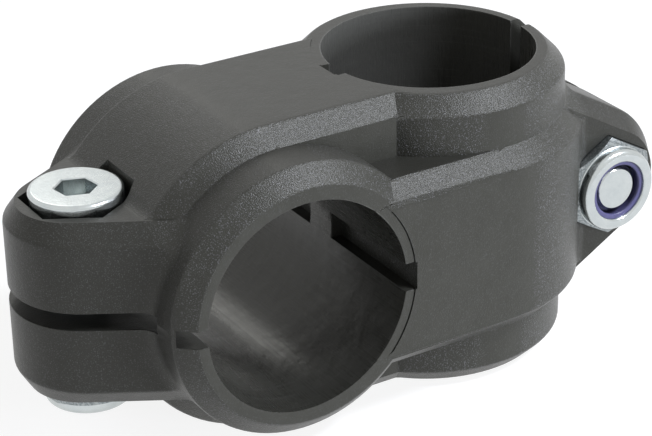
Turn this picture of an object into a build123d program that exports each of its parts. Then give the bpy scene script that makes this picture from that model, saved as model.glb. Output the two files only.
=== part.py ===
from build123d import *
import math
import os

# Crossed tube clamp: one moulded body with two bores at right angles, each closed by a screw and a lock nut.
# Frame: the origin is the body's centre. +X runs from the horizontal bore's lobe to the vertical bore's lobe.
# The horizontal bore lies along Y and the vertical bore along Z.
# Everything is drawn once, for the horizontal bore. Half a turn about (0, 1, 1) makes the other half.

# Driving dimensions, in millimetres and degrees.
tube_diameter = 30.0            # round tube held by each bore
bore_spacing = 33.0             # between the two bore axes, along X
collar_wall = 4.5               # collar round the bore
collar_shift = 0.5              # collar centre stands this much nearer the body's centre than the bore
collar_chamfer = 2.5
flange_width = 27.6             # of the flange that joins each collar to the other one
flange_rise = 2.5               # flange above the collar
flange_chamfer = 2.5
flange_ear_fillet = 2.4         # where the flange's rim runs into the ear's two flats
rim_setback = 0.15              # collar rim below the neighbouring flange face
crease_width = 0.12             # fine joint line between the horizontal bore's rims and the slab beside them
crease_depth = 0.3
rim_land = 1.35                 # rim between the bore and the crease
relief_width = 4.0              # grooves in each bore wall, on the body's side
relief_depth = 1.6
web_width = 5.7                 # bore wall left whole between the two grooves
slot_width = 2.4                # split through ear and collar
slot_skin = 0.4                 # thin skin left over the split beside the ear, which gives on tightening
slot_blade = 15.4               # the split is open all through within this distance from the collar's middle
ear_thickness = 26.4
ear_tip_radius = 11.0
ear_tip_inset = 1.3             # tip arc's centre inside the screw axis
ear_flat_radius = 7.9           # outline of the ear's flat face
ear_flat_shift = 0.2            # its arc's centre outside the screw axis
ear_bevel = 2.7                 # height of the bevel between the two outlines
ear_side_angle = 30.0           # sides of the ear to the X axis
ear_root_fillet = 3.0
screw_standoff = 7.0            # screw axis beyond the bore wall
screw_hole_diameter = 9.0
head_seat = 9.6                 # floors of the two pockets above the split plane
nut_seat = 8.4
pocket_clearance = 0.25         # across the flats
screw_diameter = 8.0
screw_length = 25.0
screw_end_chamfer = 1.05
head_diameter = 12.75
head_height = 5.0
head_chamfer = 0.5
socket_flats = 5.0
socket_depth = 3.0
socket_angle = -20.0            # where one corner of the socket points, from +X
nut_flats = 13.0
nut_height = 8.0
nut_hex_height = 6.2
nut_collar_radius = 6.1
nut_collar_chamfer = 0.45
nut_lip_radius = 4.35
nut_lip_height = 0.5
nut_chamfer_angle = 30.0
insert_radius = 5.3
insert_height = 1.9
thread_clearance = 0.05         # radial, screw to nut and insert

# Sizes that follow from them.
bore_radius = tube_diameter / 2
bore_offset = bore_spacing / 2
collar_radius = bore_radius + collar_wall
collar_offset = bore_offset - collar_shift
flange_radius = collar_radius + flange_rise
collar_half_length = flange_radius - rim_setback
crease_radius = bore_radius + rim_land + crease_width
screw_offset = bore_offset + bore_radius + screw_standoff
ear_half = ear_thickness / 2
pocket_flats = max(nut_flats, head_diameter) + pocket_clearance
thread_hole_radius = screw_diameter / 2 + thread_clearance
body_reach = screw_offset + flange_radius + collar_half_length    # safely past every outer face

turn_axis = Axis((0, 0, 0), (0, 1, 1))


def turned(solid):
    """The same solid on the vertical bore's side."""
    return solid.rotate(turn_axis, 180)


def rod_along_y(radius, length, x):
    return Pos(x, 0, 0) * Cylinder(radius, length, rotation=(90, 0, 0))


def hexagon(flats, height, corner_angle=30.0):
    """Hexagonal bar standing on the XY plane, one corner at the given angle."""
    outline = RegularPolygon(flats / 2, 6, major_radius=False, rotation=corner_angle)
    return extrude(outline, height)


def turned_profile(points):
    """Solid of revolution about Z from (radius, height) points."""
    return revolve(Plane.XZ * make_face(Polyline(points, close=True)), Axis.Z)


def collar():
    blank = rod_along_y(collar_radius, 2 * collar_half_length, -collar_offset)
    return chamfer(blank.edges().filter_by(GeomType.CIRCLE), collar_chamfer)


def flange_outline():
    """Side view of the flange: a disc whose rim runs into the ear's flats through a small fillet."""
    span = flange_radius + flange_ear_fillet
    reach = math.sqrt(span ** 2 - (ear_half + flange_ear_fillet) ** 2)
    share = flange_radius / span
    centre = Vector(-collar_offset - reach, ear_half + flange_ear_fillet)
    on_disc = Vector(-collar_offset - reach * share, (ear_half + flange_ear_fillet) * share)
    on_flat = Vector(-collar_offset - reach, ear_half)
    towards = (on_disc + on_flat - centre * 2).normalized()
    between = centre + towards * flange_ear_fillet
    rim = ThreePointArc(on_disc, (flange_radius - collar_offset, 0), (on_disc.X, -on_disc.Y))
    upper = ThreePointArc(on_disc, between, on_flat)
    return make_face(rim + upper + mirror(upper, Plane.XZ) + Line(on_flat, (on_flat.X, -on_flat.Y)))


def flange():
    """Round flange on the collar, and the slab that carries it on to the other collar."""
    blank = extrude(Plane.XZ * flange_outline(), flange_width / 2, both=True)
    sides = blank.faces().filter_by(Axis.Y)
    disc = chamfer(sides.edges(), flange_chamfer)
    block = Box(2 * collar_offset, flange_width, 2 * flange_radius)
    slab = chamfer(block.edges().filter_by(Axis.X), flange_chamfer)
    # The other collar's rims stay clear of the slab's two faces.
    opening = Pos(bore_offset, 0, 0) * Cylinder(crease_radius, 2 * body_reach)
    between = Box(2 * body_reach, 2 * body_reach, 2 * collar_half_length)
    return disc + (slab - (opening - between))


def ear_outline(centre, radius, height):
    """Rounded tip with straight sides that spread towards the collar."""
    angle = math.radians(ear_side_angle)
    root = collar_offset + math.sqrt((bore_radius + collar_wall / 2) ** 2 - ear_half ** 2)
    tangent_x = centre + radius * math.sin(angle)
    tangent_y = radius * math.cos(angle)
    root_y = tangent_y + (tangent_x - root) * math.tan(angle)
    tip = ThreePointArc((-tangent_x, -tangent_y), (-centre - radius, 0), (-tangent_x, tangent_y))
    sides = Polyline((-tangent_x, tangent_y), (-root, root_y), (-root, -root_y), (-tangent_x, -tangent_y))
    return Pos(0, 0, height) * make_face(tip + sides)


def ear():
    side_centre = screw_offset - ear_tip_inset
    flat_centre = screw_offset + ear_flat_shift
    shoulder = ear_half - ear_bevel
    block = extrude(ear_outline(side_centre, ear_tip_radius, -shoulder), 2 * shoulder)
    for side in (1, -1):
        low = ear_outline(side_centre, ear_tip_radius, side * shoulder)
        high = ear_outline(flat_centre, ear_flat_radius, side * ear_half)
        block += loft([low, high], ruled=True)
    return block


def ear_root():
    """What the fillet all round the ear's root adds between ear and collar."""
    tube = rod_along_y(collar_radius, 2 * collar_half_length, -collar_offset)
    tab = ear()
    joined = tube + tab
    return fillet(new_edges(tube, tab, combined=joined), ear_root_fillet) - tube - tab


def lobe():
    """Collar, flange and ear of one bore, before anything is cut."""
    return collar() + flange() + ear() + ear_root()


def bore_cut():
    """Tube bore with its two relief grooves."""
    bore = rod_along_y(bore_radius, 2 * body_reach, -bore_offset)
    groove_x = bore_radius + relief_depth
    groove_y = body_reach
    groove = Box(groove_x, groove_y, relief_width, align=(Align.MIN, Align.MIN, Align.CENTER))
    front = Pos(-bore_offset, web_width / 2, 0) * groove
    return bore + front + mirror(front, Plane.XZ)


def crease_cut():
    """Fine line round the horizontal bore's rims, where the slab stands beside them."""
    outer = rod_along_y(crease_radius, 2 * body_reach, -bore_offset)
    inner = rod_along_y(crease_radius - crease_width, 2 * body_reach, -bore_offset)
    middle = Box(2 * body_reach, 2 * (collar_half_length - crease_depth), 2 * body_reach)
    reach = flange_width - 2 * flange_chamfer
    window = Box(body_reach, 2 * body_reach, reach, align=(Align.MIN, Align.CENTER, Align.CENTER))
    return (outer - inner - middle) & Pos(-bore_offset, 0, 0) * window


def slot_cut():
    """Split through the ear and the collar wall behind it, then under a thin skin on to both rims."""
    side = (Align.MAX, Align.CENTER, Align.CENTER)
    open_split = Box(body_reach, 2 * slot_blade, slot_width, align=side)
    whole_split = Box(body_reach, 2 * body_reach, slot_width, align=side)
    under_skin = rod_along_y(collar_radius - slot_skin, 2 * body_reach, -collar_offset)
    return Pos(-bore_offset, 0, 0) * open_split + (Pos(-bore_offset, 0, 0) * whole_split & under_skin)


def screw_cut():
    """Screw hole with a hexagonal pocket at each end."""
    hole = Cylinder(screw_hole_diameter / 2, ear_thickness)
    pocket = hexagon(pocket_flats, body_reach)
    head_pocket = Pos(0, 0, head_seat) * pocket
    nut_pocket = Pos(0, 0, -nut_seat - body_reach) * pocket
    return Pos(-screw_offset, 0, 0) * (hole + head_pocket + nut_pocket)


def clamp_body():
    half = lobe()
    body = half + turned(half)
    cuts = bore_cut() + slot_cut() + screw_cut()
    return body - cuts - turned(cuts) - crease_cut()


def screw():
    """Low-head socket screw, its head seated on the pocket floor."""
    end_z = head_seat - screw_length
    end_radius = screw_diameter / 2 - screw_end_chamfer
    shank = turned_profile([
        (0, end_z),
        (end_radius, end_z),
        (screw_diameter / 2, end_z + screw_end_chamfer),
        (screw_diameter / 2, head_seat),
        (0, head_seat),
    ])
    head = Cylinder(head_diameter / 2, head_height, align=(Align.CENTER, Align.CENTER, Align.MIN))
    head = chamfer(head.edges().filter_by(GeomType.CIRCLE).sort_by(Axis.Z)[-1], head_chamfer)
    socket = Pos(0, 0, head_height - socket_depth) * hexagon(socket_flats, socket_depth, socket_angle)
    return Pos(-screw_offset, 0, 0) * (shank + Pos(0, 0, head_seat) * (head - socket))


def nut():
    """Hexagon lock nut drawn upwards from its seat, then turned over into the lower pocket."""
    corner = nut_flats / math.sqrt(3)
    fall = (corner - nut_flats / 2) * math.tan(math.radians(nut_chamfer_angle))
    turning = turned_profile([
        (0, 0),
        (nut_flats / 2, 0),
        (corner, fall),
        (corner, nut_hex_height - fall),
        (nut_flats / 2, nut_hex_height),
        (0, nut_hex_height),
    ])
    upwards = (Align.CENTER, Align.CENTER, Align.MIN)
    collar_blank = Cylinder(nut_collar_radius, nut_height, align=upwards)
    collar_top = collar_blank.edges().filter_by(GeomType.CIRCLE).sort_by(Axis.Z)[-1]
    blank = (hexagon(nut_flats, nut_hex_height) & turning) + chamfer(collar_top, nut_collar_chamfer)
    bore = Cylinder(thread_hole_radius, 2 * nut_height)
    seat_z = nut_height - nut_lip_height - insert_height
    seat = Pos(0, 0, seat_z) * Cylinder(insert_radius, insert_height, align=upwards)
    mouth = Pos(0, 0, nut_height) * Cylinder(nut_lip_radius, 2 * nut_lip_height)
    return Pos(-screw_offset, 0, -nut_seat) * (blank - bore - seat - mouth).rotate(Axis.X, 180)


def insert():
    """Nylon ring held in the nut's collar."""
    ring = Cylinder(insert_radius, insert_height) - Cylinder(thread_hole_radius, insert_height)
    middle = nut_seat + nut_height - nut_lip_height - insert_height / 2
    return Pos(-screw_offset, 0, -middle) * ring


def write(name, solid):
    export_step(solid, "parts/" + name + ".step")


os.makedirs("parts", exist_ok=True)
write("clamp_body", clamp_body())
for piece, solid in (("screw", screw()), ("nut", nut()), ("insert", insert())):
    write("horizontal_bore_" + piece, solid)
    write("vertical_bore_" + piece, turned(solid))
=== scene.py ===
# %% [markdown]
# # A lean tube joint, dressed in Blender
# The real object is a black moulded clamp with two crossed tube bores. Each bore is closed by a
# zinc plated socket screw that runs through an ear into a lock nut with a violet nylon ring. The
# shapes could all be modelled here, but they would drift away from the part that has to fit real
# tubes. So they come in as a packed model, the frame, and this script adds only what a moulding or
# a plated screw shows close up: rounded edges, threads, grain, scratches and light.

import math

import bmesh
import bpy
from mathutils import Matrix, Vector
from mathutils.bvhtree import BVHTree
from mathutils.interpolate import poly_3d_calc


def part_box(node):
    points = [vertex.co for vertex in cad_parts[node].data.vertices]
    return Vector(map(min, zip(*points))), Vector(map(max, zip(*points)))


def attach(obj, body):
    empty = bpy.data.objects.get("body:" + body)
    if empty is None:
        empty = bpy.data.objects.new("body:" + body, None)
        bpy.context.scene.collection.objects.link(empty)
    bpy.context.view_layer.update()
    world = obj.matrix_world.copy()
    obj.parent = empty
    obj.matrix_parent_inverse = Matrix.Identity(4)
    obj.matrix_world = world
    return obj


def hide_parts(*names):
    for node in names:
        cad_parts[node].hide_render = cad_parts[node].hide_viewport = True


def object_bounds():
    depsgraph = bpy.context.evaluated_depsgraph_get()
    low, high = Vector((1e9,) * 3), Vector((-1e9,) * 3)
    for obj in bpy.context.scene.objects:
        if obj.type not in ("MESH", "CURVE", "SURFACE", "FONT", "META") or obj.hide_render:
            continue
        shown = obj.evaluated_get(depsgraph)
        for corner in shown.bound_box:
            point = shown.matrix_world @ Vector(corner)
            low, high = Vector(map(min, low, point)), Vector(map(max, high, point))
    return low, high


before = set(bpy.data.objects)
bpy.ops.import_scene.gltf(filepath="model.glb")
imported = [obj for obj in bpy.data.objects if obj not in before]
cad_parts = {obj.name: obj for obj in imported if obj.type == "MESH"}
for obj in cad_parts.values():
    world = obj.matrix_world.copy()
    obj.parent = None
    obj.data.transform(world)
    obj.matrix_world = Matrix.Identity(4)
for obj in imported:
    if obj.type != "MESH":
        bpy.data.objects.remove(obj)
cad_low, cad_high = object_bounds()
MM = 0.001                      # the frame is in metres, and this script counts in millimetres
print("nodes in the frame:", sorted(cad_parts))

# %% [markdown]
# ## Camera
# The joint is small, so a long lens looks at it from a third of a metre away, which keeps its two
# rims nearly parallel. A camera could be typed in as a matrix, or aimed with a constraint. This one
# is placed in words that can be read and changed one by one: so far round, so high up, so far away,
# and tilted by about a degree.


# %% Directions
def direction(azimuth, elevation):
    """Unit vector from the object towards a place so many degrees round from the front and so many up."""
    a, e = math.radians(azimuth), math.radians(elevation)
    return Vector((math.sin(a) * math.cos(e), -math.cos(a) * math.cos(e), math.sin(e)))


def link(thing):
    """Puts a new object into the scene."""
    bpy.context.scene.collection.objects.link(thing)
    return thing


print("the front lies towards", [round(c, 3) for c in direction(0, 0)])

# %% Camera
CAMERA_AZIMUTH = -31.086        # degrees, towards the horizontal bore's ear
CAMERA_ELEVATION = 26.211
CAMERA_ROLL = -1.103
CAMERA_DISTANCE = 325.288       # millimetres from the point it looks at
CAMERA_TARGET = Vector((-0.578, 0.126, -0.388))
CAMERA_LENS = 128.106
SENSOR = 36

back = direction(CAMERA_AZIMUTH, CAMERA_ELEVATION)
level = direction(CAMERA_AZIMUTH + 90, 0)
roll = math.radians(CAMERA_ROLL)
right = level * math.cos(roll) + back.cross(level) * math.sin(roll)
turn = Matrix((right, back.cross(right), back)).transposed().to_4x4()

camera = link(bpy.data.objects.new("camera", bpy.data.cameras.new("camera")))
camera.matrix_world = Matrix.Translation((CAMERA_TARGET + back * CAMERA_DISTANCE) * MM) @ turn
camera.data.lens = CAMERA_LENS
camera.data.sensor_width = SENSOR
camera.data.clip_start = 0.01
bpy.context.scene.camera = camera
print("camera stands at", [round(c / MM, 1) for c in camera.location], "mm")

# %% [markdown]
# ## Shader arithmetic
# A material is a small program made of nodes. Its Math nodes could be wired one by one, but that
# hides the formula. So a Signal wraps one socket, and ordinary Python arithmetic on Signals adds
# the Math nodes.


# %% Signals
class Signal:
    """One value on its way between two nodes."""

    def __init__(self, finish, socket):
        self.finish = finish
        self.socket = socket

    def maths(self, operation, *values):
        return self.finish.node("ShaderNodeMath", {"operation": operation}, dict(enumerate(values)))

    def __add__(self, other):
        return self.maths("ADD", self, other)

    __radd__ = __add__

    def __sub__(self, other):
        return self.maths("SUBTRACT", self, other)

    def __rsub__(self, other):
        return self.maths("SUBTRACT", other, self)

    def __mul__(self, other):
        return self.maths("MULTIPLY", self, other)

    __rmul__ = __mul__

    def power(self, other):
        return self.maths("POWER", self, other)

    def higher(self, other):
        return self.maths("MAXIMUM", self, other)

    def beside(self, output):
        """Another output of the same node."""
        return Signal(self.finish, self.socket.node.outputs[output])


print("a Signal is:", Signal.__doc__)

# %% [markdown]
# ## Finishes
# Every finish here is built from the same few things: a place on the object, a noise, a smooth
# step, a blend of two colours and a bump. Each material could add those nodes by hand. A Finish has
# one method that adds any node and short names for the usual ones, so that a material reads as a
# list of what its surface does.

# %% Finishes
MIX_SOCKETS = {                 # a Mix node's inputs A and B and its output, by what it mixes
    "VECTOR": (4, 5, 1),
    "RGBA": (6, 7, 2),
}


class Finish:
    """A node tree under construction, in the object's own coordinates and in millimetres."""

    def __init__(self, holder):
        holder.use_nodes = True
        self.holder = holder
        self.tree = holder.node_tree
        self.tree.nodes.clear()

    def node(self, kind, settings=None, sockets=None, output=0):
        """Adds a node: its settings first, then what its sockets hold or are fed by. Returns one output."""
        node = self.tree.nodes.new(kind)
        for name, value in (settings or {}).items():
            setattr(node, name, value)
        for name, value in (sockets or {}).items():
            self.feed(node.inputs[name], value)
        return Signal(self, node.outputs[output]) if node.outputs else None

    def feed(self, socket, value):
        if isinstance(value, Signal):
            self.tree.links.new(value.socket, socket)
        else:
            socket.default_value = value

    def place(self):
        """Where a point is on the resting object, in millimetres."""
        metres = self.node("ShaderNodeTexCoord", output="Object")
        return self.node("ShaderNodeVectorMath", {"operation": "SCALE"}, {0: metres, "Scale": 1 / MM})

    def stretch(self, vector, times):
        return self.node("ShaderNodeVectorMath", {"operation": "MULTIPLY"}, {0: vector, 1: times})

    def split(self, vector):
        x = self.node("ShaderNodeSeparateXYZ", sockets={0: vector})
        return x, x.beside(1), x.beside(2)

    def join(self, x, y, z):
        return self.node("ShaderNodeCombineXYZ", sockets={0: x, 1: y, 2: z})

    def noise(self, vector, size, detail, roughness):
        """Smooth random value, about 0.5, whose patches are about that many millimetres across."""
        sockets = {"Vector": vector, "Scale": 1 / size, "Detail": detail, "Roughness": roughness}
        return self.node("ShaderNodeTexNoise", sockets=sockets)

    def ramp(self, value, low, high):
        """Smooth step from 0 to 1 while the value goes from low to high."""
        sockets = {"Value": value, "From Min": low, "From Max": high}
        return self.node("ShaderNodeMapRange", {"interpolation_type": "SMOOTHSTEP"}, sockets)

    def mix(self, kind, amount, first, second):
        a, b, result = MIX_SOCKETS[kind]
        sockets = {"Factor": amount, a: first, b: second}
        return self.node("ShaderNodeMix", {"data_type": kind}, sockets, result)

    def blend(self, amount, first, second):
        """Colour between two colours."""
        return self.mix("RGBA", amount, first, second)

    def bump(self, height, depth, strength, under=None):
        """Relief that many millimetres deep, on top of the one under it."""
        sockets = {"Height": height, "Distance": depth * MM, "Strength": strength}
        if under is not None:
            sockets["Normal"] = under
        return self.node("ShaderNodeBump", sockets=sockets)

    def show(self, shader, kind="ShaderNodeOutputMaterial"):
        """Ends the tree with that shader, and returns what the tree belongs to."""
        self.node(kind, sockets={"Surface": shader})
        print("finish", self.holder.name, "has", len(self.tree.nodes), "nodes")
        return self.holder


def new_finish(name):
    return Finish(bpy.data.materials.new(name))


def grey(value):
    return (value, value, value, 1.0)


print("a Finish is:", Finish.__doc__)

# %% [markdown]
# ## Where the moulding is rubbed, and where it is flat
# On the real clamp, tubes have rubbed the walls of the bores, and large flats are smoother than
# slopes. Such regions could be painted by hand, or be faces with a material of their own. Masks
# worked out from a point's place and its surface's direction need neither. Their borders are soft,
# and one formula holds for both bores. The vertical bore's mask also carries painted light on its
# wall.

# %% Bore walls
BORE_OFFSET = 16.5              # from the body's centre to each bore's axis, along X
BORE_RADIUS = 15.0
WALL_FADE = (0.05, 0.25)        # how far outside the bore its wall's finish starts and stops fading


def bore_wall(finish, across, along, towards):
    """Mask that is 1 on the wall of a bore, and the place on it: round it, along it and from its axis."""
    radius = (across * across + towards * towards).power(0.5)
    mask = 1 - finish.ramp(radius, BORE_RADIUS + WALL_FADE[0], BORE_RADIUS + WALL_FADE[1])
    angle = towards.maths("ARCTAN2", towards, across)
    return mask, finish.join(angle * BORE_RADIUS, along, radius)


print("bores of", 2 * BORE_RADIUS, "mm lie", 2 * BORE_OFFSET, "mm apart")

# %% Flat faces
FLAT_FADE = (0.955, 0.985)      # square of the cosine between a surface's direction and Y or Z


def flatness(finish):
    """1 on flat faces square to Y or Z, 0 on slopes and round faces."""
    facing = finish.node("ShaderNodeTexCoord", output="Normal")
    _, y, z = finish.split(facing)
    squareness = (y * y).higher(z * z)
    return finish.ramp(squareness, *FLAT_FADE)


print("flat means within", round(math.degrees(math.acos(math.sqrt(FLAT_FADE[0]))), 1), "degrees of square")

# %% [markdown]
# ## Black moulded plastic
# Glass-filled nylon comes out of a spark-eroded mould with a fine grain, a fifth of a millimetre
# across. The grain catches light on slopes, so bevels sparkle and flats look satin. Its peaks are
# painted lighter as well, more on slopes than on flats: partly dust, partly painted glint. Tubes
# pushed in and turned leave the bores smoother and streaked, with arcs of fine scratches. The
# vertical bore's wall is also painted lighter all over, as painted light that lifts its shade, and
# each ear is painted darker beyond 33 mm from the middle, as painted shade. One noise could colour
# it all. Separate ones for grain, mottle, scratches and streaks keep each of them at its own scale.

# %% Black plastic
GRAIN = 0.17                    # sizes and depths in millimetres
GRAIN_DEPTH = 0.075
MOTTLE = 2.6
MOTTLE_DEPTH = 0.12
EAR_SHADE_AND_SMOOTH_FADE = (33.0, 35.5)         # distance from the middle at which an ear's painted shade and smoother skin set in
SCRATCH_STRETCH = (0.05, 5.0, 1.0)      # long round the wall, and close together along it
STREAK_STRETCH = (2.2, 0.06, 1.0)       # the other way round
DEEP_BLACK = (0.022, 0.022, 0.018, 1)
SOFT_BLACK = (0.033, 0.033, 0.028, 1)
# painted shade: the colour towards which the outer part of each ear is darkened
EAR_PAINTED_SHADE = (0.008, 0.008, 0.007, 1)
# partly dust, partly painted glint: the colour of the grain's peaks
GRAIN_DUST_AND_GLINT = (0.18, 0.18, 0.19, 1)
# real scratches in both bores, and painted light over the vertical bore's whole wall
RUBBED_AND_PAINTED_LIGHT = (0.12, 0.12, 0.11, 1)
SATIN = 0.33                    # roughness of the moulded skin


def black_plastic():
    finish = new_finish("black_plastic_moulded")
    place = finish.place()
    x, y, z = finish.split(place)
    grain = finish.noise(place, GRAIN, 1.0, 0.5)
    mottle = finish.noise(place, MOTTLE, 3.0, 0.55)

    left_mask, left_wall = bore_wall(finish, x + BORE_OFFSET, y, z)
    right_mask, right_wall = bore_wall(finish, x - BORE_OFFSET, z, y)
    inside = left_mask.higher(right_mask)
    # painted shade on the outer part of each ear; the same mask also makes that part smoother
    ear_shade_and_smooth = finish.ramp((x * x).power(0.5), *EAR_SHADE_AND_SMOOTH_FADE)
    smooth = flatness(finish).higher(inside).higher(ear_shade_and_smooth * 0.6)

    wall = finish.mix("VECTOR", right_mask, left_wall, right_wall)
    scratched = finish.noise(finish.stretch(wall, SCRATCH_STRETCH), 1.0, 3.0, 0.7)
    scratches = finish.ramp(scratched, 0.55, 0.72)
    streaks = finish.noise(finish.stretch(wall, STREAK_STRETCH), 1.0, 3.0, 0.6)

    # painted glint, partly dust: the grain's peaks lighter, most on slopes, least on flats and in the bores
    dust_and_glint = finish.ramp(grain, 0.56, 0.72) * (0.5 - smooth * 0.4)
    base = finish.blend(mottle, DEEP_BLACK, SOFT_BLACK)
    # painted shade: the outer part of each ear darkened
    base = finish.blend(ear_shade_and_smooth * 0.45, base, EAR_PAINTED_SHADE)
    base = finish.blend(dust_and_glint, base, GRAIN_DUST_AND_GLINT)
    # scratches are real wear; the second half lightens the vertical bore's whole wall as painted light
    base = finish.blend(inside * scratches * 0.5 + right_mask * 0.5, base, RUBBED_AND_PAINTED_LIGHT)
    rough = SATIN + mottle * 0.10 + inside * (streaks * 0.24 - 0.22)
    relief = finish.bump(mottle, MOTTLE_DEPTH, 0.6)
    relief = finish.bump(grain * (1 - smooth * 0.6 - inside * 0.3), GRAIN_DEPTH, 1.0, relief)
    shader = finish.node("ShaderNodeBsdfPrincipled", sockets={
        "Base Color": base, "Roughness": rough, "Normal": relief, "IOR": 1.5, "Specular IOR Level": 0.37,
        "Specular Tint": (1.0, 1.0, 0.94, 1.0),
    })
    return finish.show(shader)


plastic = black_plastic()

# %% [markdown]
# ## Zinc plate
# Blue-passivated zinc is a bright, slightly cold metal with a soft, uneven shine. A screw is
# turned, so it is smooth all over. A nut's hexagon is forged, and stays rougher under its plating
# than the lip that is rolled over the ring. Its grey is partly the forged skin and partly painted
# reflection, standing for the black body mirrored in its flats. The nut could be given two
# materials. A mask by the distance from the screw's axis does it with one, and its border falls
# just outside the lip.

# %% Zinc plate
SCREW_OFFSET = BORE_OFFSET + BORE_RADIUS + 7.0
FORGED_FROM = (6.1, 6.3)        # distance from the screw's axis at which the forged skin sets in
PITS = 0.22
SPOTS = 0.28
ZINC_SHADE = (0.47, 0.51, 0.52, 1)
ZINC_SHINE = (0.61, 0.64, 0.63, 1)
# partly the forged skin's own grey, partly painted reflection of the black body in the flats
FORGED_GREY_AND_PAINTED_REFLECTION = (0.13, 0.15, 0.16, 1)


def zinc_plate(name, speckle):
    """Zinc plate. Speckle is how grey the forged skin is, a grey that is partly painted reflection: 0 for a
    turned screw, which has none.
    """
    finish = new_finish(name)
    place = finish.place()
    cloud = finish.noise(place, 1.6, 3.0, 0.6)
    pits = finish.noise(place, PITS, 2.0, 0.6)
    spots = finish.ramp(finish.noise(place, SPOTS, 3.0, 0.65), 0.60, 0.40)

    x, y, z = finish.split(place)
    across = y + (z - y) * finish.ramp(x, -1.0, 1.0)    # the left screw stands along Z, the right along Y
    out = (x * x).power(0.5) - SCREW_OFFSET
    forged = finish.ramp((out * out + across * across).power(0.5), *FORGED_FROM) * speckle

    base = finish.blend(cloud, ZINC_SHADE, ZINC_SHINE)
    # greyer forged hexagon: partly its own skin, partly painted reflection of the black body
    base = finish.blend(forged * (0.5 + spots * 0.5), base, FORGED_GREY_AND_PAINTED_REFLECTION)
    rough = 0.12 + cloud * 0.12 + pits * 0.06 + forged * 0.22
    relief = finish.bump(pits * (1 + forged * 3), 0.02, 0.8)
    shader = finish.node("ShaderNodeBsdfPrincipled", sockets={
        "Base Color": base, "Roughness": rough, "Normal": relief, "Metallic": 1.0,
    })
    return finish.show(shader)


bright_zinc = zinc_plate("zinc_plate_turned", 0.0)
grey_zinc = zinc_plate("zinc_plate_forged", 0.85)

# %% [markdown]
# ## Violet nylon
# The lock nut's ring is dyed violet and a little waxy. Light sinks into nylon, so subsurface
# scattering would be the textbook way. On a ring this thin and dark it can hardly be seen, so a
# cloudy colour under a soft gloss does.

# %% Violet nylon
VIOLET_SHADE = (0.045, 0.043, 0.110, 1)
VIOLET_SHINE = (0.070, 0.066, 0.155, 1)


def violet_nylon():
    finish = new_finish("violet_nylon_waxy")
    cloud = finish.noise(finish.place(), 0.9, 2.0, 0.5)
    base = finish.blend(cloud, VIOLET_SHADE, VIOLET_SHINE)
    relief = finish.bump(cloud, 0.02, 0.6)
    shader = finish.node("ShaderNodeBsdfPrincipled", sockets={
        "Base Color": base, "Roughness": 0.34, "Normal": relief, "IOR": 1.53,
    })
    return finish.show(shader)


nylon = violet_nylon()

# %% [markdown]
# ## The moulded body
# A mould maker rounds every outer edge a little, and those small rounds draw the bright lines along
# a black part. The packed solid has sharp edges. A Bevel node in the shader could soften their
# light, but it would be lost outside Blender. So the body's mesh is copied, cleaned and bevelled
# along its convex edges: wide on outer edges, narrow along slots and bores, and not at all in the
# pockets, where a round would only blur small corners.

# %% Clean copy of the body
WELD = 0.06                     # points nearer to each other than this become one
FLAT_WITHIN = 0.4               # degrees: faces that meet more flatly than this become one


def clean_copy(node):
    """The node's mesh with doubled points welded and flat areas made of single faces."""
    copy = bmesh.new()
    copy.from_mesh(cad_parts[node].data)
    bmesh.ops.remove_doubles(copy, verts=copy.verts, dist=WELD * MM)
    bmesh.ops.dissolve_degenerate(copy, edges=copy.edges, dist=WELD * MM)
    within = math.radians(FLAT_WITHIN)
    bmesh.ops.dissolve_limit(copy, angle_limit=within, verts=copy.verts, edges=copy.edges)
    copy.normal_update()
    print(node, "has", len(copy.faces), "faces once clean")
    return copy


body = clean_copy("clamp_body")

# %% [markdown]
# ## Which edges to round
# The edges could be picked by hand, but their numbers change whenever the solid does. Their places
# don't, so each edge is known by where its middle lies. One side is described, and the half turn
# that swaps the two bores gives the other.

# %% How wide an edge is rounded
OUTER_ROUND = 0.40              # millimetres
CUT_ROUND = 0.14
ON_IT = 0.06                    # how near a line a point has to be to lie on it
RIM = 21.8                      # rims and flange faces lie beyond this
HAIRLINE = (16.2, 16.6)         # radii between which the hairline beside the slab lies
HAIRLINE_HALF = 11.4
POCKET_REACH = 7.7              # pockets lie within this distance of the screw's axis
POCKET_START = 4.0              # and further than this from the slot's middle
EAR_START = BORE_OFFSET + 10
EAR_FLAT = 13.2                 # height of the ear's flats above the slot's middle
SLOT_HALF = 1.2
SKIN_START = BORE_OFFSET + 17
SKIN = (15.3, 20.0)             # the slot's skin lies between these distances from the collar's middle
RELIEF_REACH = 17.0
RELIEF_HALF = 2.0


def cut_round(x, y, z):
    """Rounding of a cut edge on the horizontal bore's side, or None for a plain moulded edge."""
    radius = math.hypot(x + BORE_OFFSET, z)
    from_screw = math.hypot(x + SCREW_OFFSET, y)
    at_rim = abs(y) > RIM
    near_slab = x > -BORE_OFFSET and abs(z) < HAIRLINE_HALF
    in_hairline = at_rim and near_slab and HAIRLINE[0] < radius < HAIRLINE[1]
    in_pocket = from_screw < POCKET_REACH and abs(z) > POCKET_START
    round_ear_flat = abs(abs(z) - EAR_FLAT) < ON_IT and x < -EAR_START
    on_skin = x < -SKIN_START and abs(z) < SLOT_HALF + ON_IT and SKIN[0] < abs(y) < SKIN[1]
    if in_hairline or in_pocket or round_ear_flat or on_skin:
        return 0.0
    on_rim = at_rim and abs(radius - BORE_RADIUS) < ON_IT
    on_slot = x < -BORE_OFFSET and abs(abs(z) - SLOT_HALF) < ON_IT
    on_relief = x > -BORE_OFFSET and radius < RELIEF_REACH and abs(z) < RELIEF_HALF + ON_IT
    return CUT_ROUND if on_rim or on_slot or on_relief else None


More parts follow.
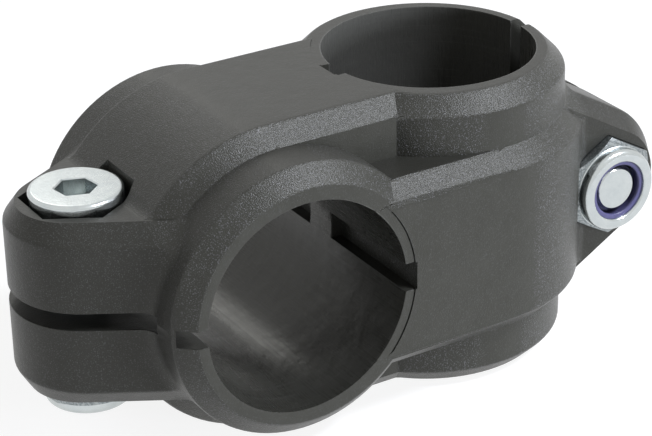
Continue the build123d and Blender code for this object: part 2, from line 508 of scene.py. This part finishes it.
def edge_round(edge):
    """How wide an edge's rounding is. The half turn (x, y, z) to (-x, z, y) swaps the two bores."""
    x, y, z = (edge.verts[0].co + edge.verts[1].co) / (2 * MM)
    for found in (cut_round(x, y, z), cut_round(-x, z, y)):
        if found is not None:
            return found
    return OUTER_ROUND


print("widths of rounding:", sorted({edge_round(edge) for edge in body.edges}), "mm")

# %% Round the body
SHARP_ANGLE = 24.0              # degrees between two faces that make an edge worth rounding
SHORTEST_EDGE = 0.12            # shorter ones are left sharp
PLAIN, STRIP = 0, 1             # material numbers that tell the solid's own faces from the rounded strips


def worth_rounding(edge):
    if not edge.is_manifold or not edge.is_convex:
        return False
    return edge.calc_face_angle() > math.radians(SHARP_ANGLE) and edge.calc_length() > SHORTEST_EDGE * MM


def rounded_body():
    """The body with a strip of two faces along each convex edge."""
    weights = body.edges.layers.float.new("bevel_weight_edge")
    for face in body.faces:
        face.material_index = PLAIN
    for edge in body.edges:
        if worth_rounding(edge):
            edge[weights] = edge_round(edge) / OUTER_ROUND
    mesh = bpy.data.meshes.new("clamp_body_moulding")
    body.to_mesh(mesh)
    body.free()
    for _ in (PLAIN, STRIP):
        mesh.materials.append(plastic)
    piece = link(bpy.data.objects.new("clamp_body_moulding", mesh))
    bevel = piece.modifiers.new("rounded edges", "BEVEL")
    bevel.limit_method = "WEIGHT"
    bevel.width = OUTER_ROUND * MM
    bevel.segments = 2
    bevel.use_clamp_overlap = False
    bevel.material = STRIP
    return piece


def apply_modifiers(piece):
    """Makes the modifiers' result the piece's own mesh."""
    bpy.context.view_layer.update()
    evaluated = piece.evaluated_get(bpy.context.evaluated_depsgraph_get())
    made = bpy.data.meshes.new_from_object(evaluated)
    piece.modifiers.clear()
    piece.data = made


moulding = rounded_body()
apply_modifiers(moulding)
strips = sum(face.material_index == STRIP for face in moulding.data.polygons)
print("the moulding has", len(moulding.data.polygons), "faces,", strips, "of them in rounded strips")


# %% Keep it inside the solid's box
def keep_inside(mesh):
    """Brings points that a bevel has pushed out of the solid's box back to its faces. Returns how many."""
    outside = 0
    for vertex in mesh.vertices:
        before = vertex.co.copy()
        vertex.co = [min(max(c, low), high) for c, low, high in zip(vertex.co, cad_low, cad_high)]
        outside += vertex.co != before
    return outside


print("points brought back into the box:", keep_inside(moulding.data))

# %% [markdown]
# ## Normals that follow the solid
# Moulded faces are flat or evenly curved right up to their rounded edges. Plain smooth shading
# would smear the tilt of a narrow strip over the large face beside it, and a Weighted Normal
# modifier can leave marks on long thin faces. So each face that lies on the solid takes the solid's
# own normals, and only the strips turn from one side's normal to the other's. A point that a bevel
# has thrown off the solid is put back on it first.

# %% Normals of the solid
FURTHEST = 0.32                 # no rounding stands further than this from the solid, in millimetres
NEARBY = 0.10
SLIVER = 0.0005                 # square millimetres: smaller faces have no dependable direction
SAME_WAY = 0.8                  # cosine of the most that a normal may lean from its face's own direction


def surface_tree(mesh):
    points = [vertex.co.copy() for vertex in mesh.vertices]
    return BVHTree.FromPolygons(points, [tuple(face.vertices) for face in mesh.polygons])


def put_back_strays(mesh, tree):
    strays = 0
    for vertex in mesh.vertices:
        spot, _, _, distance = tree.find_nearest(vertex.co)
        if distance > FURTHEST * MM:
            vertex.co = spot
            strays += 1
    mesh.update()
    print("points put back on the solid:", strays)


def solid_normal(point, facing, tree, solid, corner_normals):
    """The solid's normal near a point, on the face that looks most nearly the given way."""
    best, found, score = None, None, SAME_WAY
    for spot, normal, index, distance in tree.find_nearest_range(point, NEARBY * MM):
        fit = normal.dot(facing) - distance / MM
        if fit > score and solid.polygons[index].area > SLIVER * MM ** 2:
            best, found, score = solid.polygons[index], spot, fit
    if best is None:
        return facing.copy()
    weights = poly_3d_calc([solid.vertices[i].co for i in best.vertices], found)
    blended = Vector()
    for corner, weight in zip(best.loop_indices, weights):
        blended += corner_normals[corner] * weight
    return blended.normalized() if blended.dot(facing) > SAME_WAY else facing.copy()


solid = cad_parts["clamp_body"].data
tree = surface_tree(solid)
put_back_strays(moulding.data, tree)

# %% Follow the solid
STRIP_SIDE = 0.3                # cosine of the most that a strip's side may lean from the strip
STRIP_TOTAL = 0.5               # and of the most that the sum of its sides may


def follow_solid(mesh):
    """Gives the rounded mesh the normals of the solid it was made from."""
    corner_normals = [Vector(corner.vector) for corner in solid.corner_normals]
    normals = [Vector((0, 0, 1))] * len(mesh.loops)
    at_vertex = {}
    for face in (f for f in mesh.polygons if f.material_index == PLAIN):
        for loop in face.loop_indices:
            index = mesh.loops[loop].vertex_index
            point = mesh.vertices[index].co
            normals[loop] = solid_normal(point, face.normal, tree, solid, corner_normals)
            at_vertex.setdefault(index, []).append(normals[loop])
    for face in (f for f in mesh.polygons if f.material_index == STRIP):
        for loop in face.loop_indices:
            index = mesh.loops[loop].vertex_index
            near = [n for n in at_vertex.get(index, []) if n.dot(face.normal) > STRIP_SIDE]
            total = sum(near, Vector()).normalized()
            normals[loop] = total if total.dot(face.normal) > STRIP_TOTAL else face.normal.copy()
    for face in mesh.polygons:
        face.use_smooth = True
        face.material_index = PLAIN
    mesh.normals_split_custom_set(normals)
    followed = sum(len(found) for found in at_vertex.values())
    print("corners with a normal of the solid:", followed, "of", len(normals))


follow_solid(moulding.data)

# %% [markdown]
# ## Dressing a piece
# Each visible piece stands for a node of the packed model, which is hidden but still there for
# collisions. It also has to move with that node's body. It could be parented by hand, but then
# nothing would check the names. So one helper gives each piece its finish, hangs it under an empty
# for the body it rides on, and hides the nodes it replaces.


# %% Dress the moulding
def dress(piece, material, body, slot, *nodes):
    """Gives a piece its finish and its body, and hides the CAD nodes it stands for."""
    piece.data.materials.clear()
    piece.data.materials.append(material)
    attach(piece, body)
    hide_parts(*nodes)
    print(piece.name, "has", sum(len(face.vertices) - 2 for face in piece.data.polygons), "triangles")


dress(moulding, plastic, "housing", "black_plastic", "clamp_body")

# %% [markdown]
# ## Turned pieces
# Screws, nuts and rings are round about one axis, but their sockets, threads and flats aren't, so a
# plain spin of one outline won't do, and cutting them with Boolean modifiers often leaves ragged
# faces. Here each piece is a stack of outlines taken at many angles: at each angle a list of
# (radius, height) points, joined to the next angle's list.

# %% Turning helpers
DOUBLED = 0.002                 # points nearer than this, such as those on the axis, become one
NUT_FLATS = 13.0


def hex_radius(flats, angle, corner):
    """Distance from a hexagon's centre to its side in one direction. A corner points at the given angle."""
    sixth = math.pi / 3
    off = (angle - corner) % sixth - sixth / 2
    return flats / 2 / math.cos(off)


def turned_piece(name, outline, angles, closed=False):
    """A mesh made from outline(angle), the same number of (radius, height) points at each angle."""
    mesh = bmesh.new()
    rings = []
    for angle in angles:
        points = [(r * math.cos(angle), r * math.sin(angle), z) for r, z in outline(angle)]
        rings.append([mesh.verts.new(Vector(p) * MM) for p in points])
    count = len(rings[0])
    for here, there in zip(rings, rings[1:] + rings[:1]):
        for i in range(count if closed else count - 1):
            j = (i + 1) % count
            mesh.faces.new((here[i], there[i], there[j], here[j]))
    bmesh.ops.remove_doubles(mesh, verts=mesh.verts, dist=DOUBLED * MM)
    bmesh.ops.recalc_face_normals(mesh, faces=mesh.faces)
    data = bpy.data.meshes.new(name)
    mesh.to_mesh(data)
    mesh.free()
    return link(bpy.data.objects.new(name, data))


def arc(centre_r, centre_z, radius, start, stop, steps):
    """Points round a small arc in the (radius, height) plane, its angles in degrees."""
    made = []
    for k in range(steps + 1):
        a = math.radians(start + (stop - start) * k / steps)
        made.append((centre_r + radius * math.cos(a), centre_z + radius * math.sin(a)))
    return made


def around(count, start=0.0):
    return [start + 2 * math.pi * k / count for k in range(count)]


print("the nuts are", round(2 * hex_radius(NUT_FLATS, 0, 0), 2), "mm across their corners")

# %% [markdown]
# ## Screws
# The real ones are M8 low-head socket screws: a flat head with a rolled rim, a hexagon socket with
# a drilled bottom, and a rolled thread of 1.25 mm pitch to the end. A thread could be a bump in the
# material, but its end shows in the nut's mouth. A real helix is cheap here, because each outline
# just rises with its angle.

# %% Screw head
HEAD_RADIUS = 6.37
HEAD_HEIGHT = 5.0
HEAD_ROUND = 0.6
FOOT_BEVEL = 0.3
SOCKET_FLATS = 5.0
SOCKET_CORNER = math.radians(-20.0)
SOCKET_BEVEL = 0.16
SOCKET_DEPTH = 3.0
DRILL_EDGE = (0.9, 3.05)        # share of the socket's radius, and depth
DRILL_TIP = 3.9


def screw_head(top, seat):
    """Head with its socket, as one closed skin."""
    def outline(angle):
        socket = hex_radius(SOCKET_FLATS, angle, SOCKET_CORNER)
        foot = [(0, seat), (HEAD_RADIUS - FOOT_BEVEL, seat), (HEAD_RADIUS, seat + FOOT_BEVEL)]
        rim = arc(HEAD_RADIUS - HEAD_ROUND, top - HEAD_ROUND, HEAD_ROUND, 0, 90, 6)
        mouth = [(socket + SOCKET_BEVEL, top), (socket, top - SOCKET_BEVEL), (socket, top - SOCKET_DEPTH)]
        drilled = [(socket * DRILL_EDGE[0], top - DRILL_EDGE[1]), (0, top - DRILL_TIP)]
        return foot + rim + mouth + drilled
    return turned_piece("screw_head", outline, around(96, SOCKET_CORNER))


print("screw heads are", 2 * HEAD_RADIUS, "mm across and", HEAD_HEIGHT, "mm high")

# %% Screw thread
PITCH = 1.25
THREAD_RADIUS = 4.0
THREAD_DEPTH = 0.72
THREAD_PROFILE = ((0.0, 0.0), (0.12, 0.0), (0.44, THREAD_DEPTH), (0.60, THREAD_DEPTH), (0.92, 0.0))
END_RADIUS = 2.95               # the end widens from this at 45 degrees


def screw_thread(low, high):
    """Threaded shank. Each angle's rows stand a little higher than the last, which makes the helix."""
    turns = math.ceil((high - low) / PITCH) + 2

    def outline(angle):
        rise = PITCH * (angle / (2 * math.pi) - 1)
        rows = [(0.0, low)]
        for k in range(turns):
            for share, depth in THREAD_PROFILE:
                z = low + rise + PITCH * (k + share)
                radius = min(THREAD_RADIUS - depth, END_RADIUS + max(z - low, 0))
                rows.append((radius, min(max(z, low), high)))
        return rows + [(0.0, high)]
    return turned_piece("screw_thread", outline, around(64))


print("threads are", 2 * THREAD_RADIUS, "mm across with a pitch of", PITCH, "mm")

# %% [markdown]
# ## Lock nuts
# The nut's hexagon is chamfered at both ends. Above it stands a thin collar whose rim is rolled
# over the nylon ring, which leaves a bright rounded lip. A cylinder with six sides would miss the
# curved lines where a chamfer's cone meets the flats. An outline that falls away as the hexagon's
# radius grows draws them by itself.

# %% Nut
NUT_CORNER = math.pi / 6
NUT_BORE = 4.05
BORE_BEVEL = 0.45
HEXAGON_HEIGHT = 6.2
HEXAGON_INSET = 0.05            # how far inside the flats a chamfer starts
CHAMFER = math.radians(30)
COLLAR_FOOT = ((6.25, 0.03), (6.1, 0.2))        # radius, and height above the hexagon
LIP_OUTSIDE = (5.22, 0.88)      # distance of an arc's middle from the axis, and the arc's own radius
LIP_INSIDE = (4.75, 0.4)
LIP_BORE = 4.55
GROOVE_RADIUS = 5.3
GROOVE_DEPTHS = (1.0, 2.4)      # from the top to the groove that holds the ring


def lock_nut(seat, top):
    """Nut standing on its seat, with its collar upwards."""
    start = NUT_FLATS / 2 - HEXAGON_INSET
    shoulder = seat + HEXAGON_HEIGHT
    groove_top, groove_foot = (top - depth for depth in GROOVE_DEPTHS)

    def outline(angle):
        side = hex_radius(NUT_FLATS, angle, NUT_CORNER)
        fall = (side - NUT_FLATS / 2) * math.tan(CHAMFER)
        foot = [(NUT_BORE + BORE_BEVEL, seat), (start, seat)]
        hexagon = [(side, seat + fall), (side, shoulder - fall)]
        collar = [(start, shoulder)] + [(radius, shoulder + height) for radius, height in COLLAR_FOOT]
        rolled = arc(LIP_OUTSIDE[0], top - LIP_OUTSIDE[1], LIP_OUTSIDE[1], 0, 90, 7)
        rolled += arc(LIP_INSIDE[0], top - LIP_INSIDE[1], LIP_INSIDE[1], 90, 190, 5)
        groove = [(LIP_BORE, groove_top), (GROOVE_RADIUS, groove_top), (GROOVE_RADIUS, groove_foot)]
        bore = [(NUT_BORE, groove_foot), (NUT_BORE, seat + BORE_BEVEL)]
        return foot + hexagon + collar + rolled + groove + bore
    return turned_piece("lock_nut", outline, around(96, NUT_CORNER), closed=True)


print("nuts are", NUT_FLATS, "mm across their flats")

# %% Nylon ring
RING_RADIUS = 5.25
RING_BORE = 3.75
RING_NOSE = 0.25                # radius of its rounded mouth
RING_CONE = (0.42, 0.62)        # depths between which the bore widens
RING_FOOT = 4.05


def nylon_ring(low, high):
    def outline(angle):
        nose = arc(RING_BORE + RING_NOSE, high - RING_NOSE, RING_NOSE, 180, 90, 4)
        bore = [(RING_BORE, high - RING_CONE[0]), (RING_FOOT, high - RING_CONE[1]), (RING_FOOT, low)]
        return [(RING_RADIUS, low), (RING_RADIUS, high)] + nose[::-1] + bore
    return turned_piece("nylon_ring", outline, around(72), closed=True)


print("rings leave a bore of", 2 * RING_BORE, "mm")

# %% [markdown]
# ## Both sides
# The joint's two sides are the same, half a turn apart. The second could be linked copies of the
# first, but each piece rides on a body and stands for a node of its own. So one loop makes both,
# and only the last move differs.


# %% Placing helpers
def box_of(node):
    low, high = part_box(node)
    return low / MM, high / MM


def bake(piece, matrix):
    """Moves the mesh itself, so that the object stays at the origin as the frame's nodes do."""
    piece.data.transform(matrix)
    piece.data.update()


def join(name, pieces):
    """One object from several meshes that are already in place."""
    mesh = bmesh.new()
    for piece in pieces:
        mesh.from_mesh(piece.data)
        bpy.data.objects.remove(piece)
    data = bpy.data.meshes.new(name)
    mesh.to_mesh(data)
    mesh.free()
    return link(bpy.data.objects.new(name, data))


def shade(piece, angle):
    """Smooth shading that keeps edges sharper than the angle."""
    for face in piece.data.polygons:
        face.use_smooth = True
    piece.data.set_sharp_from_angle(angle=math.radians(angle))
    weighted = piece.modifiers.new("flat faces stay flat", "WEIGHTED_NORMAL")
    weighted.keep_sharp = True


HALF_TURN = Matrix.Rotation(math.pi, 4, Vector((0, 1, 1)))     # carries one bore's side to the other
OVER = Matrix.Rotation(math.pi, 4, "X")                        # nuts stand upside down in the lower pocket
print("the half turn carries left to", [round(c) for c in HALF_TURN @ Vector((-1, 0, 0))])

# %% Place the hardware
SHARP_METAL = 40                # degrees from which an edge stays sharp
SHARP_NUT = 32                  # its chamfers are flatter
NECK = 0.5                      # how far the thread reaches into the head
screw_low, screw_high = box_of("horizontal_bore_screw")
nut_low, nut_high = box_of("horizontal_bore_nut")
ring_low, ring_high = box_of("horizontal_bore_insert")
axis_x = (screw_low.x + screw_high.x) / 2
to_axis = Matrix.Translation(Vector((axis_x, 0, 0)) * MM)

for side, place in (("horizontal", to_axis), ("vertical", HALF_TURN @ to_axis)):
    seat = screw_high.z - HEAD_HEIGHT
    head = screw_head(screw_high.z, seat)
    thread = screw_thread(screw_low.z, seat + NECK)
    screw = join(side + "_screw_threaded", [head, thread])
    nut = lock_nut(-nut_high.z, -nut_low.z)
    ring = nylon_ring(-ring_high.z, -ring_low.z)
    nut.name, ring.name = side + "_lock_nut", side + "_nylon_ring"
    bake(screw, place)
    bake(nut, place @ OVER)
    bake(ring, place @ OVER)
    for piece, angle in ((screw, SHARP_METAL), (nut, SHARP_NUT), (ring, SHARP_METAL)):
        shade(piece, angle)
    bore = side + "_bore_"
    dress(screw, bright_zinc, side + "_screw", "zinc_plated_steel", bore + "screw")
    dress(nut, grey_zinc, "housing", "zinc_plated_steel", bore + "nut")
    dress(ring, nylon, "housing", "violet_nylon", bore + "insert")

# %% [markdown]
# ## Floor
# The part stands on a white table. Enough light to make plain paper white would wash out the part.
# So the table glows a little, but only for what the camera sees directly or in a mirror: it comes
# out white, the part's own shadow still darkens it, and its glow doesn't brighten the part.

# %% Floor
PAPER = 0.8                     # how much light the table throws back at the part
FAINT = 0.25                    # and how much the camera sees, on top of the glow
GLOW = 0.86
TABLE_HALF = 3000               # half its width
TABLE_GAP = 0.01                # between the table and the part's lowest point


def seen(finish):
    """1 for what the camera sees directly or in a reflection, 0 for light that bounces on."""
    camera_ray = finish.node("ShaderNodeLightPath", output="Is Camera Ray")
    glossy_ray = camera_ray.beside("Is Glossy Ray")
    return camera_ray.higher(glossy_ray).higher(camera_ray.beside("Is Transmission Ray"))


def white_table():
    finish = new_finish("white_table")
    paper = finish.node("ShaderNodeBsdfDiffuse", sockets={"Color": grey(PAPER)})
    faint = finish.node("ShaderNodeBsdfDiffuse", sockets={"Color": grey(FAINT)})
    glow = finish.node("ShaderNodeEmission", sockets={"Color": grey(1.0), "Strength": GLOW})
    both = finish.node("ShaderNodeAddShader", sockets={0: faint, 1: glow})
    return finish.show(finish.node("ShaderNodeMixShader", sockets={0: seen(finish), 1: paper, 2: both}))


def table_top(half, height):
    mesh = bmesh.new()
    bmesh.ops.create_grid(mesh, x_segments=8, y_segments=8, size=half * MM)
    bmesh.ops.translate(mesh, verts=mesh.verts, vec=(0, 0, height))
    data = bpy.data.meshes.new("table")
    mesh.to_mesh(data)
    mesh.free()
    data.materials.append(white_table())
    table = link(bpy.data.objects.new("table", data))


table_top(TABLE_HALF, cad_low[2] - TABLE_GAP * MM)

# %% [markdown]
# ## Light
# A white room gives soft light from everywhere. Three square lamps shape the part: a small bright
# one in front and above, a wide one level with the part that opens up the upright walls, and a weak
# one behind. A lamp as low as the second would lie mirrored as white glare on flats seen from
# behind, so it is hidden from reflections. Point lamps would be simpler, but zinc would mirror them
# as hard dots.

# %% Lamps
LAMP_DISTANCE = 800


def soft_box(name, azimuth, elevation, size, watts, colour, mirrored=True):
    """A square lamp that looks at the object. One that isn't mirrored leaves no glare."""
    lamp = bpy.data.lights.new(name, "AREA")
    lamp.shape = "SQUARE"
    lamp.size = size * MM
    lamp.energy = watts
    lamp.color = colour
    towards = direction(azimuth, elevation)
    holder = link(bpy.data.objects.new(name, lamp))
    holder.location = towards * LAMP_DISTANCE * MM
    holder.rotation_euler = towards.to_track_quat("Z", "Y").to_euler()
    holder.visible_glossy = mirrored
    print(name, "gives", watts, "W from a square of", size, "mm")


soft_box("front_box", azimuth=43, elevation=51, size=160, watts=5.8, colour=(0.87, 0.90, 1.0))
soft_box("low_box", azimuth=33, elevation=0, size=300, watts=14.0, colour=(0.86, 0.90, 1.0), mirrored=False)
soft_box("rear_box", azimuth=168, elevation=37, size=200, watts=0.34, colour=(1.0, 1.0, 0.97))

# %% Room
ROOM_LIGHT = 0.25               # strength with which the room lights the part
ROOM_SEEN = 1.0                 # and with which it is seen


def room():
    finish = Finish(bpy.data.worlds.new("white_room"))
    strength = ROOM_LIGHT + seen(finish) * (ROOM_SEEN - ROOM_LIGHT)
    white = finish.node("ShaderNodeBackground", sockets={"Color": grey(1.0), "Strength": strength})
    return finish.show(white, "ShaderNodeOutputWorld")


bpy.context.scene.world = room()
bpy.context.scene.view_settings.view_transform = "Standard"

# That could be left to the eye, but a bevel that stands out by a tenth of a millimetre can't be
# seen, and can be measured.
